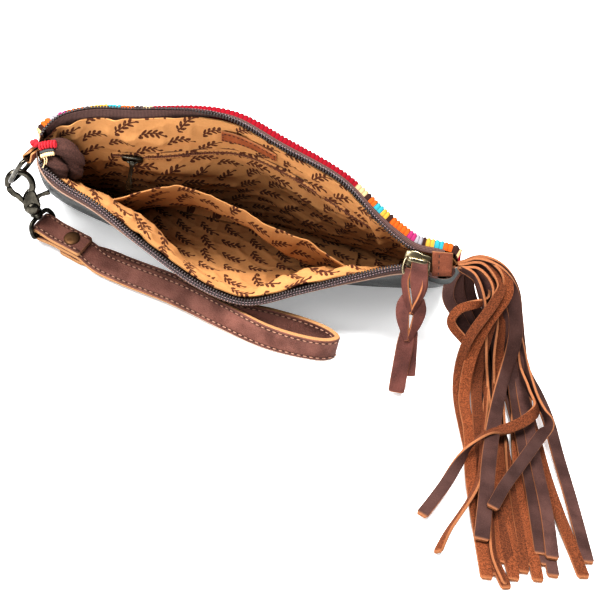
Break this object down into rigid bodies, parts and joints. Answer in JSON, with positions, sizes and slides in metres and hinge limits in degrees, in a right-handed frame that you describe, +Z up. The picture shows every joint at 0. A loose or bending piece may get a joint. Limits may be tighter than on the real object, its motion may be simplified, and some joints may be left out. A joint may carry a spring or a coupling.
{
  "type": "leather wristlet",
  "caption": "Open zipped wristlet with a woven back, a leather front, a printed cotton lining, a clip-on wrist strap and a long thong tassel.",
  "frame": {"origin": "on the floor, on the flat underside of the front panel, half way along the bag's width", "axes": "+Z up from the floor, +X along the bag's width from the strap's end to the tassel's end, -Y out of the mouth"},
  "size_m": [0.3188, 0.2447, 0.1022],
  "materials": {
    "leather": "waxed brown",
    "suede": "smooth on one side, suede on the other",
    "grey": "dark grey, raw cut edge",
    "woven": "ribbed weave in bright stripes",
    "cotton": "tan printed cotton",
    "tape": "dark brown zip tape",
    "teeth": "dark brown zip coil",
    "brass": "antique",
    "bronze": "antique bronze"
  },
  "bodies": {
    "wristlet": {"front_panel": "grey", "front_lining": "cotton", "front_tape": "tape", "front_teeth": "teeth", "back_panel": "woven", "back_lining": "cotton", "back_tape": "tape", "back_teeth": "teeth", "slip_pocket": "cotton", "pocket_zip": "tape", "inner_patch": "leather", "pocket_slider": "brass", "zip_slider": "brass", "closed_zip": "teeth", "end_tab": "leather", "zip_fold": "tape", "pull_loop": "brass", "leather_pull": "leather", "wrist_strap": "leather", "strap_rivet": "bronze", "hook_body": "brass", "hook_pin": "brass", "swivel_ring": "brass", "d_ring": "brass", "ring_tab": "leather", "tassel": "suede"},
    "gate": {"hook_gate": "brass"},
    "pocket_pull": {"pocket_pull": "brass"}
  },
  "joints": [
    {"name": "hook_gate_hinge", "type": "hinge", "parent": "wristlet", "child": "gate", "pos_m": [-0.11135, -0.03764, 0.02151], "axis": [-0.3839, 0.9233, -0.0118], "range_deg": [0, 24], "stiffness_Nm_per_rad": 0.02, "springref_deg": -5.73},
    {"name": "pocket_pull_hinge", "type": "hinge", "parent": "wristlet", "child": "pocket_pull", "pos_m": [-0.06363, -0.03384, 0.05952], "axis": [-1, 0, 0], "range_deg": [-15, 70]}
  ]
}
